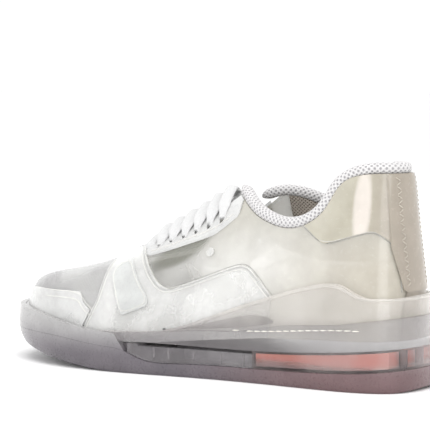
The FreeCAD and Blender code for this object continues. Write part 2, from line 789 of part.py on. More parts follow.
def saddles():
    """Overlay on each side of the forefoot and arch, its badge and its white backing."""
    for side in OUT:
        saddle = common("saddle_body_" + side, overlay_layer,
                        side_block("saddle_side_" + side, rounded_edges(SADDLE, 3), side))
        saddle = common("saddle_foot_" + side, saddle, above_feather[side])
        saddle = cut("saddle_throat_" + side, saddle, throat)
        seat = [(x + EYESTAY_GAP, y + EYESTAY_GAP * OUT[side].y) for x, y in EYESTAY[side]]
        seat_plan = top_block("eyestay_seat_" + side, rounded_edges(seat, 2))
        node("saddle_" + side, cut("saddle_cut_" + side, saddle, seat_plan))
        patch = side_block("patch_side_" + side, rounded_edges(PATCH, 2.5), side)
        node("side_patch_" + side, common("patch_cut_" + side, trim_layer, patch))
        insert = common("insert_body_" + side, lining_layer,
                        side_block("insert_side_" + side, rounded_edges(WING_INSERT, 3), side))
        node("arch_insert_" + side, common("insert_cut_" + side, insert,
                                           above_feather[side]))


def eyestays():
    """Bands down both sides of the throat that carry the lace holes."""
    for side in OUT:
        band = common("eyestay_body_" + side, overlay_layer,
                      top_block("eyestay_top_" + side, rounded_edges(EYESTAY[side], 2)))
        band = common("eyestay_side_" + side, band, above_feather[side])
        band = cut("eyestay_throat_" + side, band, throat)
        node("eyestay_" + side, cut("eyestay_cut_" + side, band, eyelet_holes[side]))


# Each rivet stands in the bare band between the saddle and the eyestay.
RIVET_SPOT = {"lateral": (-11, 77), "medial": (0, 62.6)}


def side_rivets():
    """Small round rivets that hold the eyestay's backing to each quarter."""
    halves = []
    for side, out in OUT.items():
        rod = doc.addObject("Part::Cylinder", "rivet_rod_" + side)
        bind(rod, "Radius", "rivet_radius")
        bind(rod, "Height", "reach")
        x, z = RIVET_SPOT[side]
        rod.Placement = Placement(Vector(x, 0, z), Rotation(Vector(0, 0, 1), out))
        halves.append(common("rivet_" + side, overlay_layer, rod))
    node("side_rivets", group("rivet_pair", halves))


HEEL_OVERLAY = [(-69, 140), (-69, 105), (-94.5, 86), (-115, 92.5), (-124, 95), (-131, 90.5),
                (-136.5, 84), (-141, 60), (-141, 20), (BACK, 20), (BACK, 140)]
BACK_STRIP = [(-15, 58.5), (15, 58.5), (19, 84), (18, 100), (16, 128.2), (-16, 128.2),
              (-18, 100), (-19, 84)]
COUNTER = [(BACK, 20), (-84, 20), (-84, 60), (-98, 74), (BACK, 74)]


def heel():
    """Overlays, back strip and inner counter of the heel."""
    for side in OUT:
        overlay = common("heel_overlay_body_" + side, overlay_layer, side_block(
            "heel_overlay_side_" + side, rounded_edges(HEEL_OVERLAY, 3), side))
        node("heel_overlay_" + side, common("heel_overlay_cut_" + side, overlay,
                                            above_feather[side]))
    rear = block("back_strip_rear", rounded_edges(BACK_STRIP, 3), REAR_VIEW, Vector(-1, 0, 0),
                 start=100)
    node("back_strip", common("back_strip_cut", trim_layer, rear))
    counter = common("counter_body", lining_layer,
                     cross_block("counter_side", rounded_edges(COUNTER, 6)))
    node("heel_counter", common("counter_cut", counter, cross_block(
        "counter_foot", area(raised(FEATHER, RIM), CEILING))))


COLLAR_PAD = [(BACK, 76), (-90, 76), (-62, 82), (-42, 96), (-42, 140), (BACK, 140)]
COLLAR_LINING = [(BACK, 70), (-90, 70), (-60, 76), (-38, 92), (-38, 140), (BACK, 140)]
BINDING_WIDTH = 6.2
# Seen from above: the binding's two front ends stop at the edge of this shape.
BINDING_MOUTH = [(-8, -32), (-8, 5), (-60, 5), (-60, -7), (-24, -7), (-24, -32)]


def collar():
    """Foam pads, mesh lining and the padded mesh binding round the ankle opening."""
    pads = layer("pad_layer", pad_floor, lining_top)
    linings = layer("collar_lining_layer", collar_lining_floor, collar_lining_top)
    rolls = layer("binding_layer", binding_floor, binding_top)
    halves = []
    for side, out in OUT.items():
        pad = common("pad_body_" + side, pads,
                     side_block("pad_side_" + side, rounded_edges(COLLAR_PAD, 5), side))
        node("collar_pad_" + side, common("pad_cut_" + side, pad, above_feather[side]))
        lining = common("collar_lining_body_" + side, linings, side_block(
            "collar_lining_side_" + side, rounded_edges(COLLAR_LINING, 5), side))
        node("collar_lining_" + side, common("collar_lining_cut_" + side, lining,
                                             above_feather[side]))
        edge = block("binding_side_" + side,
                     area(raised(TOPLINE[side], RIM), pushed_up(TOPLINE[side], BINDING_WIDTH)),
                     SIDE_VIEW, out)
        halves.append(common("binding_half_" + side, rolls, edge))
    whole = fuse("binding_whole", halves[0], halves[1])
    mouth = top_block("binding_mouth", rounded_edges(BINDING_MOUTH, 1.5))
    node("collar_binding", cut("binding_cut", whole, mouth))


# ---------------------------------------------------------------- tongue and lace
TONGUE = [(68, -20), (68, 15), (45, 20), (6, 20.5), (-8, 18), (-17, 13), (-17, -17),
          (-8, -22), (6, -24.5), (45, -24)]
TONGUE_TIP = [(-17.2, 12), (-17.2, -16), (-21, -13), (-21, 9)]


def tongue_sheet(label, plan, floor, top):
    """One sheet of the tongue: the outline seen from above, between two lasts."""
    trimmed = common(label + "_plan", last_solid(label + "_outer", top), plan)
    node(label, cut(label + "_cut", trimmed, last_solid(label + "_inner", floor)))


def tongue():
    """Clear tongue shell, its foam, its lining and the bound top edge."""
    plan = top_block("tongue_plan", rounded_edges(TONGUE, 4))
    tip = top_block("tongue_tip", rounded_edges(TONGUE_TIP, 1.5))
    tongue_sheet("tongue_shell", plan, tongue_pad_top + gap, tongue_top)
    tongue_sheet("tongue_padding", plan, tongue_lining_top + gap, tongue_pad_top)
    tongue_sheet("tongue_lining", plan, tongue_floor, tongue_lining_top)
    tongue_sheet("tongue_binding", tip, tongue_floor, tongue_top)


LACE_HALF_WIDTH = 3.2
LACE_LEG_HEIGHT = 5.0


def ribbon(name, start, end, floor_layer):
    """A flat stretch of lace between two points, seen from above."""
    run = Vector(end[0] - start[0], end[1] - start[1], 0).normalize()
    aside = Vector(-run.y, run.x, 0) * LACE_HALF_WIDTH
    corners = [Vector(*start, 0) - aside - run * 2, Vector(*end, 0) - aside + run * 2,
               Vector(*end, 0) + aside + run * 2, Vector(*start, 0) + aside - run * 2]
    plan = top_block(name + "_plan", rounded_edges([(c.x, c.y) for c in corners], 1.4))
    return common(name, floor_layer, plan)


def lace():
    """Flat lace crossed over the tongue: one set of runs passes over the other."""
    low = layer("lace_low_layer", lace_low, lace_mid)
    high = layer("lace_high_layer", lace_high, lace_top)
    rows = [EYELET_START + row * EYELET_STEP for row in range(EYELET_ROWS)]
    runs = [ribbon("lace_first", (rows[0], EYELET_Y["lateral"]), (rows[0], EYELET_Y["medial"]),
                   low)]
    for row, (front, rear) in enumerate(zip(rows, rows[1:])):
        runs.append(ribbon(f"lace_under_{row}", (front, EYELET_Y["lateral"]),
                           (rear, EYELET_Y["medial"]), low))
        runs.append(ribbon(f"lace_over_{row}", (front, EYELET_Y["medial"]),
                           (rear, EYELET_Y["lateral"]), high))
    node("lace", group("lace_runs", runs))


# ---------------------------------------------------------------- sidewall stitching
STITCH_START = -124
STITCH_END = -42
STITCH_STEP = 5.1
STITCH_ROW = (31.8, 5.0)           # height at the arch, and how far the row climbs to the heel
STITCH_STAND_OFF = 0.15            # each stitch stands clear of the wall by this much


def stitch_row_height(x):
    """Height of the row of stitches at x."""
    low, climb = STITCH_ROW
    return low + climb * ease(-x, -STITCH_END, -STITCH_START)


def on_wall(wall, x, out):
    """The point of the sole's side on the row of stitches at x."""
    z = stitch_row_height(x)
    ray = Part.makeLine(Vector(x, 0, z), Vector(x, out.y * size("reach"), z))
    face = max(abs(v.Point.y) for v in ray.common(wall).Vertexes)
    return Vector(x, out.y * face, z)


def sidewall_stitching():
    """Short stitches along the cup sole's side, above the air window."""
    doc.recompute()
    wall = sole_outer.Shape
    half = size("stitch_length") / 2
    lift = size("stitch_radius") + STITCH_STAND_OFF
    stitches = []
    count = int((STITCH_END - STITCH_START) / STITCH_STEP) + 1
    for side, out in OUT.items():
        for index in range(count):
            x = STITCH_START + index * STITCH_STEP
            start = on_wall(wall, x - half, out)
            run = on_wall(wall, x + half, out) - start
            outwards = Vector(-run.y, run.x, 0).normalize() * out.y
            stitch = doc.addObject("Part::Cylinder", f"stitch_{side}_{index}")
            bind(stitch, "Radius", "stitch_radius")
            bind(stitch, "Height", "stitch_length")
            stitch.Placement = Placement(start + outwards * lift,
                                         Rotation(Vector(0, 0, 1), run))
            stitches.append(stitch)
    node("sidewall_stitching", group("stitches", stitches))


for build in (outsole, toe_bumper, midsole, shank_plate, air_unit, cupsole, heel_cup,
              arch_wings, insole, toe_box, toe_cap, quarters, saddles, eyestays, side_rivets,
              heel, collar, tongue, lace, sidewall_stitching):
    build()

# ---------------------------------------------------------------- place, check, write
for piece in nodes:
    bind(piece, "Placement.Base.x", "shift_x")
    bind(piece, "Placement.Base.y", "shift_y")
doc.recompute()

for obj in doc.Objects:
    for state in ("Invalid", "Error"):
        if state in obj.State:
            raise RuntimeError(f"{obj.Name} is {obj.State}")

for piece in nodes:
    shape = piece.Shape
    if shape.isNull() or not shape.isValid() or not shape.Solids:
        raise RuntimeError(f"{piece.Label} has no valid solid")

os.makedirs("parts", exist_ok=True)
for piece in nodes:
    piece.Shape.exportStep(f"parts/{piece.Label}.step")
    print(f"{piece.Label}: {len(piece.Shape.Solids)} solids, {piece.Shape.Volume:.0f} mm3")
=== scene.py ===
"""Looks of the low-top trainer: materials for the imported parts, and the soft pieces, seams and
lacing that stand on them. Sizes in the lists are millimetres from the shoe's own middle line."""
import json
import math
import random

import bmesh
import bpy
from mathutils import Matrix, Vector
from mathutils.bvhtree import BVHTree


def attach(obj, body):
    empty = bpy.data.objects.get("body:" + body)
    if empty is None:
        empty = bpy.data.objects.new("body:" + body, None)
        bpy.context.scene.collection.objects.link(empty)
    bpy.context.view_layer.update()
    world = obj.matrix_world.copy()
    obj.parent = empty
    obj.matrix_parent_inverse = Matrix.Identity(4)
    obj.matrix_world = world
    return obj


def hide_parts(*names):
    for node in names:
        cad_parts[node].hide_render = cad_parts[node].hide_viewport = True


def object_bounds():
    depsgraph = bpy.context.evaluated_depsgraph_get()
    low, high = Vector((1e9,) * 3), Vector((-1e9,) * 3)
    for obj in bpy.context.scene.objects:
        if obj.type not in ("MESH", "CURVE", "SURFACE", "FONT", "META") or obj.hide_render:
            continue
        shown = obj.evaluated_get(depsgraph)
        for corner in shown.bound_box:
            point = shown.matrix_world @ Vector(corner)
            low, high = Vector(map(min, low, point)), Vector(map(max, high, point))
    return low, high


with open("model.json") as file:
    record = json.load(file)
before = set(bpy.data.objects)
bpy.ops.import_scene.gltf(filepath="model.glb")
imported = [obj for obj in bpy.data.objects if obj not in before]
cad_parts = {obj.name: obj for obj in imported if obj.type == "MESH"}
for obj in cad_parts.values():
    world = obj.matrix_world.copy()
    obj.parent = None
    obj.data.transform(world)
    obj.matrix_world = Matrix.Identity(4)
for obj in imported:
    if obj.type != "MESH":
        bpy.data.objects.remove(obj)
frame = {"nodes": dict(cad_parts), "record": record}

CAD_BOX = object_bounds()
NODES = frame["nodes"]
MM = 0.001
SCENE = bpy.context.scene
random.seed(7)

# ---------------------------------------------------------------- places
GROUND_FACE_X = -40                # where the record's ground mount stands along the shoe
ground = next(m for m in frame["record"]["mounts"] if m["name"] == "ground_face")
SHIFT = Vector((ground["pos_m"][0] / MM - GROUND_FACE_X, ground["pos_m"][1] / MM, 0))
SIDES = {"lateral": 1, "medial": -1}
FAR = 200                          # outside the shoe in every direction
HEEL_MIDDLE = (-112, 0)            # the heel's back is a turn round this point
TOE_MIDDLE = (96, -4)


def at(x, y, z):
    """A point of the shoe, given in millimetres, in the frame's metres."""
    return (Vector((x, y, z)) + SHIFT) * MM


def tree(*names):
    """What rays hit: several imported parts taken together."""
    points, faces = [], []
    for name in names:
        mesh = NODES[name].data
        base = len(points)
        points += [v.co.copy() for v in mesh.vertices]
        faces += [[base + i for i in p.vertices] for p in mesh.polygons]
    return BVHTree.FromPolygons(points, faces)


def cast(target, start, goal):
    """The first surface point and its normal on the way from start to goal, or None."""
    run = goal - start
    spot, normal, _, _ = target.ray_cast(start, run.normalized(), run.length)
    if spot is None:
        return None
    if normal.dot(run) > 0:
        normal = -normal
    return spot, normal


def from_side(target, side, x, z):
    return cast(target, at(x, side * FAR, z), at(x, 0, z))


def from_above(target, x, y):
    return cast(target, at(x, y, FAR), at(x, y, 0))


def from_rear(target, y, z):
    return cast(target, at(-FAR, y, z), at(0, y, z))


def round_heel(target, angle, z):
    """Seen from outside, at an angle round the heel: 90 degrees is the outer side, 180 the back."""
    turn = math.radians(angle)
    x, y = HEEL_MIDDLE
    return cast(target, at(x + FAR * math.cos(turn), y + FAR * math.sin(turn), z), at(x, y, z))


def round_toe(target, angle, z):
    turn = math.radians(angle)
    x, y = TOE_MIDDLE
    return cast(target, at(x + FAR * math.cos(turn), y + FAR * math.sin(turn), z), at(x, y, z))


# ---------------------------------------------------------------- lines
def through(points, steps):
    """A smooth line through the points, of any number of coordinates."""
    ends = [points[0]] + list(points) + [points[-1]]
    line = []
    for a, b, c, d in zip(ends, ends[1:], ends[2:], ends[3:]):
        for step in range(steps):
            t = step / steps
            line.append(tuple(0.5 * (2 * q + (r - p) * t + (2 * p - 5 * q + 4 * r - s) * t * t
                                     + (3 * q - p - 3 * r + s) * t ** 3)
                              for p, q, r, s in zip(a, b, c, d)))
    line.append(tuple(points[-1]))
    return line


def eased(points, rounds=2, closed=False):
    """The line with its corners cut back a few times."""
    for _ in range(rounds):
        pairs = list(zip(points, points[1:] + points[:1] if closed else points[1:]))
        cut = [] if closed else [points[0]]
        for a, b in pairs:
            cut.append(tuple(p * 0.8 + q * 0.2 for p, q in zip(a, b)))
            cut.append(tuple(p * 0.2 + q * 0.8 for p, q in zip(a, b)))
        points = cut if closed else cut + [points[-1]]
    return points


def spaced(points, step, closed=False):
    """The line with a point every step along it."""
    points = list(points) + ([points[0]] if closed else [])
    line, left = [points[0]], step
    for a, b in zip(points, points[1:]):
        length = math.dist(a, b)
        done = left
        while done <= length and length > 0:
            t = done / length
            line.append(tuple(p + (q - p) * t for p, q in zip(a, b)))
            done += step
        left = done - length
    if not closed:
        line.append(points[-1])
    return line


def moved_aside(points, gap):
    """The flat line moved sideways, to the left of its run."""
    line = []
    for index, (x, y) in enumerate(points):
        ax, ay = points[max(index - 1, 0)]
        bx, by = points[min(index + 1, len(points) - 1)]
        length = max(math.hypot(bx - ax, by - ay), 1e-6)
        line.append((x - (by - ay) / length * gap, y + (bx - ax) / length * gap))
    return line


def evened(line, rounds):
    """The line with each inner value drawn towards its two neighbours."""
    for _ in range(rounds):
        line = [line[0]] + [(a + 2 * b + c) / 4 for a, b, c in zip(line, line[1:], line[2:])] \
            + [line[-1]]
    return line


def height_on(line, x):
    """The height of a side view line at a place along the shoe."""
    for (ax, az), (bx, bz) in zip(line, line[1:]):
        if x < bx:
            return az + (bz - az) * (x - ax) / (bx - ax)
    return line[-1][1]


def settled(pairs, rounds=3):
    """Surface points and normals with the facets' small jumps evened out."""
    for _ in range(rounds):
        evened = [pairs[0]]
        for (a, m), (b, n), (c, o) in zip(pairs, pairs[1:], pairs[2:]):
            evened.append(((a + 2 * b + c) / 4, (m + 2 * n + o).normalized()))
        pairs = evened + [pairs[-1]]
    return pairs


def turns(count):
    """Angles evenly round a circle."""
    return [2 * math.pi * k / count for k in range(count)]


# ---------------------------------------------------------------- meshes
def mesh_object(name, points, faces, uvs=None):
    mesh = bpy.data.meshes.new(name)
    mesh.from_pydata([tuple(p) for p in points], [], faces)
    if uvs:
        layer = mesh.uv_layers.new(name="Weave")
        for loop, uv in zip(layer.data, uvs):
            loop.uv = uv
    mesh.polygons.foreach_set("use_smooth", [True] * len(mesh.polygons))
    obj = bpy.data.objects.new(name, mesh)
    SCENE.collection.objects.link(obj)
    return obj


def loft(rings_list, u_size=1.0, v_cells=None):
    """Points, faces and UVs of tubes through rings of points, with both ends closed."""
    points, faces, uvs = [], [], []
    for rings in rings_list:
        base, count = len(points), len(rings[0])
        centres = [sum(ring, Vector()) / count for ring in rings]
        along = [0.0]
        for a, b in zip(centres, centres[1:]):
            along.append(along[-1] + (b - a).length / MM / u_size)
        girth = v_cells or 1.0
        for ring in rings:
            points += ring
        for i in range(len(rings) - 1):
            for j in range(count):
                k = (j + 1) % count
                row = base + i * count
                faces.append((row + j, row + k, row + count + k, row + count + j))
                low, high = girth * j / count, girth * (j + 1) / count
                uvs += [(along[i], low), (along[i], high), (along[i + 1], high),
                        (along[i + 1], low)]
        last = base + (len(rings) - 1) * count
        for cap, u in ((list(range(base + count - 1, base - 1, -1)), 0.0),
                       (list(range(last, last + count)), along[-1])):
            faces.append(tuple(cap))
            uvs += [(u, 0.0)] * count
    return points, faces, uvs


def faced_out(obj):
    shape = bmesh.new()
    shape.from_mesh(obj.data)
    bmesh.ops.recalc_face_normals(shape, faces=shape.faces)
    shape.to_mesh(obj.data)
    shape.free()
    return obj


BEAD_CORNERS = 8
SEAM_STEP = 0.9                    # from one ring of a bead to the next


def tube_rings(pairs, half_width, half_height):
    """Rings of a flattened tube that lies on a surface, tapered at its ends."""
    rings = []
    for index, (spot, normal) in enumerate(pairs):
        ahead = pairs[min(index + 1, len(pairs) - 1)][0]
        behind = pairs[max(index - 1, 0)][0]
        run = (ahead - behind).normalized()
        aside = run.cross(normal).normalized()
        up = aside.cross(run).normalized()
        near_end = min(index, len(pairs) - 1 - index)
        size = min(1.0, 0.45 + 0.28 * near_end)
        rings.append([spot + (aside * math.cos(turn) * half_width
                              + up * math.sin(turn) * half_height) * size * MM
                      for turn in turns(BEAD_CORNERS)])
    return rings


def ring_loop(pairs, half_width, half_height):
    """Rings of a closed bead: the line starts and ends at one place."""
    count = len(pairs)
    rings = []
    for index in range(count + 1):
        spot, normal = pairs[index % count]
        run = (pairs[(index + 1) % count][0] - pairs[index - 1 if index else count - 1][0])
        aside = run.cross(normal).normalized()
        rings.append([spot + (aside * math.cos(turn) * half_width
                              + normal * math.sin(turn) * half_height) * MM
                      for turn in turns(BEAD_CORNERS)])
    return rings


def bead_object(name, rings_list, material_name):
    points, faces, uvs = loft(rings_list)
    obj = faced_out(mesh_object(name, points, faces, uvs))
    return finished(obj, material_name)


def finished(obj, material_name, body="shoe"):
    obj.data.materials.clear()
    obj.data.materials.append(MATERIALS[material_name])
    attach(obj, body)
    return obj


# ---------------------------------------------------------------- materials
class Graph:
    """One material and short words for the nodes that it is made of."""

    def __init__(self, name):
        self.material = bpy.data.materials.new(name)
        self.material.use_nodes = True
        self.tree = self.material.node_tree
        self.shader = self.tree.nodes["Principled BSDF"]

    def add(self, kind, links=None, **settings):
        node = self.tree.nodes.new("ShaderNode" + kind)
        for key, value in settings.items():
            setattr(node, key, value)
        for key, value in (links or {}).items():
            self.put(node.inputs[key], value)
        return node

    def put(self, socket, value):
        if isinstance(value, bpy.types.NodeSocket):
            self.tree.links.new(value, socket)
        else:
            socket.default_value = value

    def math(self, operation, a, b=0.0, clamp=False):
        node = self.add("Math", operation=operation, use_clamp=clamp)
        self.put(node.inputs[0], a)
        self.put(node.inputs[1], b)
        return node.outputs[0]

    def place(self):
        return self.add("TexCoord").outputs["Object"]

    def uv(self):
        return self.add("TexCoord").outputs["UV"]

    def axis(self, vector, index):
        return self.add("SeparateXYZ", {0: vector}).outputs[index]

    def span(self, value, start, end, low=0.0, high=1.0):
        return self.add("MapRange", {"Value": value, "From Min": start, "From Max": end,
                                     "To Min": low, "To Max": high},
                        interpolation_type="SMOOTHSTEP").outputs["Result"]

    def noise(self, scale, detail=3.0, roughness=0.55, vector=None):
        return self.add("TexNoise", {"Vector": vector or self.place(), "Scale": scale,
                                     "Detail": detail, "Roughness": roughness}).outputs["Fac"]

    def mix(self, factor, a, b):
        node = self.add("Mix", data_type="RGBA")
        self.put(node.inputs[0], factor)
        self.put(node.inputs[6], (*a, 1.0) if isinstance(a, tuple) else a)
        self.put(node.inputs[7], (*b, 1.0) if isinstance(b, tuple) else b)
        return node.outputs[2]

    def bump(self, height, strength, distance, normal=None):
        links = {"Height": height, "Strength": strength, "Distance": distance}
        if normal:
            links["Normal"] = normal
        return self.add("Bump", links).outputs["Normal"]

    def finish(self, **inputs):
        for key, value in inputs.items():
            socket = self.shader.inputs[key.replace("_", " ")]
            self.put(socket, (*value, 1.0) if isinstance(value, tuple) else value)
        return self.material


MATERIALS = {}


def film(name, light, dark, faced, edged, roughness=0.2, warm=None, shade=None, grain=0.4,
         milky=None, painted_pools=(), streaks=None):
    """Moulded see-through plastic: milkier where it is seen edge on, with slow cloudy variation,
    small flow marks and a polished skin. warm is (colour, start, end) along the shoe, shade
    is (colour, start, end) up it, and milky is (added opacity, start, end) along it. Each
    painted pool is (colour, x, z, half length, half height, lean), a soft patch seen from the
    side: dark for painted shade, pale for a painted highlight.
    streaks is (colour, strength): upright bands of slightly different plastic."""
    g = Graph(name)
    cloud = g.noise(26.0, 4.0)
    colour = g.mix(g.span(cloud, 0.35, 0.68), light, dark)
    for tint, index in ((warm, 0), (shade, 2)):
        if tint:
            share = g.span(g.axis(g.place(), index), tint[1] * MM, tint[2] * MM)
            colour = g.mix(share, colour, tint[0])
    # Painted pools: soft patches of painted shade and painted highlight blended into the colour.
    for tint, x, z, long, high, lean in painted_pools:
        along = g.math("SUBTRACT", g.axis(g.place(), 0), (x + SHIFT.x) * MM)
        up = g.math("SUBTRACT", g.math("SUBTRACT", g.axis(g.place(), 2), z * MM),
                    g.math("MULTIPLY", along, lean))
        reach = g.math("ADD", g.math("POWER", g.math("ABSOLUTE", g.math(
            "DIVIDE", along, long * MM)), 2.0), g.math("POWER", g.math("ABSOLUTE", g.math(
                "DIVIDE", up, high * MM)), 2.0))
        colour = g.mix(g.span(reach, 1.25, 0.35), colour, tint)
    if streaks:
        bands = g.noise(1.0, 2.0, 0.5, g.add("Mapping", {
            "Vector": g.place(), "Scale": (55.0, 55.0, 5.0)}).outputs[0])
        colour = g.mix(g.span(bands, 0.4, 0.7, 0.0, streaks[1]), colour, streaks[0])
    facing = g.add("LayerWeight", {"Blend": 0.4}).outputs["Facing"]
    opacity = g.span(facing, 0.15, 0.95, faced, edged)
    opacity = g.math("ADD", opacity, g.span(g.noise(60.0, 2.0), 0.3, 0.7, -0.05, 0.05), True)
    if milky:
        extra = g.span(g.axis(g.place(), 0), milky[1] * MM, milky[2] * MM, 0.0, milky[0])
        opacity = g.math("ADD", opacity, extra, True)
    scuffs = g.noise(420.0, 6.0, 0.7)
    rough = g.span(scuffs, 0.3, 0.75, roughness * 0.7, roughness * 1.6)
    flow = g.bump(g.noise(150.0, 3.0), 0.10 * grain, 0.0008)
    normal = g.bump(g.noise(1500.0, 2.0), 0.12 * grain, 0.0002, flow)
    MATERIALS[name] = g.finish(Base_Color=colour, Alpha=opacity, Roughness=rough,
                               Normal=normal, IOR=1.47, Coat_Weight=0.55,
                               Coat_Roughness=0.07, Specular_IOR_Level=0.6)


def knit(name, thread, hole, cell=None, stretch=1.0):
    """Open knitted mesh. The holes lie on a centred lattice, in the piece's own UV cells, or
    with cell in the plane of the shoe's side."""
    g = Graph(name)
    if cell:
        place = g.place()
        spot = g.add("CombineXYZ", {0: g.math("MULTIPLY", g.axis(place, 0), 1 / (cell * MM)),
                                    1: g.math("MULTIPLY", g.axis(place, 2),
                                              stretch / (cell * MM))}).outputs[0]
    else:
        spot = g.uv()
    nearest = None
    for offset in (0.0, 0.5):
        shifted = g.add("VectorMath", operation="ADD")
        g.put(shifted.inputs[0], spot)
        shifted.inputs[1].default_value = (offset, offset, 0)
        inside = g.add("VectorMath", operation="FRACTION")
        g.put(inside.inputs[0], shifted.outputs[0])
        centred = g.add("VectorMath", operation="SUBTRACT")
        g.put(centred.inputs[0], inside.outputs[0])
        centred.inputs[1].default_value = (0.5, 0.5, 0)
        flat = g.add("VectorMath", operation="MULTIPLY")
        g.put(flat.inputs[0], centred.outputs[0])
        flat.inputs[1].default_value = (1, 1, 0)
        reach = g.add("VectorMath", {0: flat.outputs[0]}, operation="LENGTH").outputs["Value"]
        nearest = g.math("MINIMUM", nearest, reach) if nearest else reach
    cover = g.span(nearest, 0.13, 0.27)
    yarn = g.noise(900.0, 4.0, 0.65)
    colour = g.mix(cover, hole, g.mix(g.span(yarn, 0.3, 0.7), thread,
                                      tuple(c * 0.86 for c in thread)))
    height = g.math("ADD", cover, g.math("MULTIPLY", yarn, 0.35))
    MATERIALS[name] = g.finish(Base_Color=colour, Roughness=0.85, Sheen_Weight=0.25,
                               Sheen_Roughness=0.4, Normal=g.bump(height, 0.7, 0.0004),
                               Specular_IOR_Level=0.25)


def webbing(name, light, dark):
    """Flat woven lace: a chevron of yarns along the lace's own UV."""
    g = Graph(name)
    spot = g.uv()
    slant = g.math("ADD", g.math("MULTIPLY", g.axis(spot, 0), 5.2),
                   g.math("MULTIPLY", g.math("ABSOLUTE", g.math(
                       "SUBTRACT", g.math("FRACT", g.axis(spot, 1)), 0.5)), 16.0))
    ridge = g.math("ABSOLUTE", g.math("SINE", slant))
    fibre = g.noise(1400.0, 4.0, 0.7)
    colour = g.mix(g.span(g.math("MULTIPLY", ridge, fibre), 0.1, 0.5), dark, light)
    height = g.math("ADD", ridge, g.math("MULTIPLY", fibre, 0.5))
    MATERIALS[name] = g.finish(Base_Color=colour, Roughness=0.8, Sheen_Weight=0.3,
                               Sheen_Roughness=0.35, Normal=g.bump(height, 0.55, 0.00025),
                               Specular_IOR_Level=0.3)


def plain_cloth(name, light, dark, scale=1100.0, depth=0.0003):
    """Board, foam, thread and tape: two yarn directions over a slow variation of colour."""
    g = Graph(name)
    place = g.place()
    weave = g.math("MULTIPLY", g.math("SINE", g.math("MULTIPLY", g.axis(place, 0), scale * 4)),
                   g.math("SINE", g.math("MULTIPLY", g.axis(place, 1), scale * 4)))
    grain = g.noise(scale, 5.0, 0.7)
    colour = g.mix(g.span(g.noise(45.0), 0.3, 0.7), light, dark)
    colour = g.mix(g.span(grain, 0.35, 0.75, 0.0, 0.35), colour, dark)
    height = g.math("ADD", g.math("MULTIPLY", weave, 0.4), grain)
    MATERIALS[name] = g.finish(Base_Color=colour, Roughness=0.85, Sheen_Weight=0.15,
                               Normal=g.bump(height, 0.5, depth), Specular_IOR_Level=0.25)


film("clear_panel", (0.76, 0.75, 0.72), (0.68, 0.67, 0.63), 0.26, 0.78,
     warm=((0.60, 0.56, 0.48), -30, -135), shade=((0.58, 0.56, 0.50), 68, 108),
     milky=(0.30, 8, -30),
     # This pool is painted shade: a dark patch under the eyestay for the shoe's shaded inside seen
     # through the panel.
     painted_pools=(((0.36, 0.36, 0.31), 13, 76, 21, 9, -0.45),))
film("toe_panel", (0.60, 0.60, 0.59), (0.46, 0.46, 0.46), 0.30, 0.84,
     streaks=((0.36, 0.35, 0.36), 0.6))
film("frosted_overlay", (0.92, 0.92, 0.91), (0.85, 0.85, 0.84), 0.30, 0.76, 0.24)
film("heel_overlay", (0.55, 0.52, 0.43), (0.47, 0.44, 0.35), 0.62, 0.86, grain=0.12,
     warm=((0.42, 0.37, 0.31), -112, -140),
     # This pool is a painted highlight: an upright pale band down the heel overlay.
     painted_pools=(((0.80, 0.74, 0.68), -117, 108, 5.5, 26, 0),))
film("white_overlay", (0.72, 0.72, 0.71), (0.64, 0.64, 0.64), 0.62, 0.88, 0.3)
film("rivet_plastic", (0.80, 0.80, 0.78), (0.74, 0.74, 0.73), 0.30, 0.45, 0.35)
film("patch_plastic", (0.76, 0.77, 0.76), (0.70, 0.71, 0.70), 0.42, 0.80, 0.3)
film("seam_bead", (0.88, 0.87, 0.83), (0.80, 0.79, 0.75), 0.40, 0.72, 0.2)
# Thin grey lines of painted shade, laid beside the raised welds where a weld would shade the panel.
film("seam_shade_line", (0.50, 0.50, 0.48), (0.42, 0.42, 0.40), 0.40, 0.62, 0.3)
film("cup_plastic", (0.72, 0.69, 0.65), (0.64, 0.61, 0.57), 0.28, 0.78, 0.14,
     shade=((0.50, 0.47, 0.46), 46, 30))
film("sole_plastic", (0.50, 0.48, 0.47), (0.42, 0.40, 0.40), 0.36, 0.82, 0.14,
     shade=((0.26, 0.24, 0.25), 31, 19))
film("midsole_plastic", (0.34, 0.32, 0.33), (0.27, 0.25, 0.265), 0.40, 0.84, 0.14)
film("smoke_rubber", (0.105, 0.09, 0.105), (0.085, 0.073, 0.088), 0.93, 0.98, 0.3,
     warm=((0.13, 0.07, 0.075), 10, -110), shade=((0.42, 0.415, 0.41), 9, 37), grain=0.8)
# Dark plastic of the air unit's posts. On the arch wings this near-black is painted shade: dark
# sheets set where the heel cup's edge casts its shadow.
film("dark_posts_and_shade_wedges", (0.075, 0.07, 0.075), (0.05, 0.045, 0.05), 0.62, 0.9, 0.25)
film("smoke_plate", (0.34, 0.32, 0.33), (0.29, 0.27, 0.28), 0.40, 0.7, 0.2)
film("air_skin", (0.55, 0.48, 0.47), (0.47, 0.40, 0.40), 0.12, 0.66, 0.06)
film("air_core", (0.20, 0.085, 0.08), (0.16, 0.07, 0.07), 0.66, 0.92, 0.1,
     shade=((0.62, 0.16, 0.11), 11.5, 17.5),
     warm=((0.50, 0.42, 0.41), -129, -137))
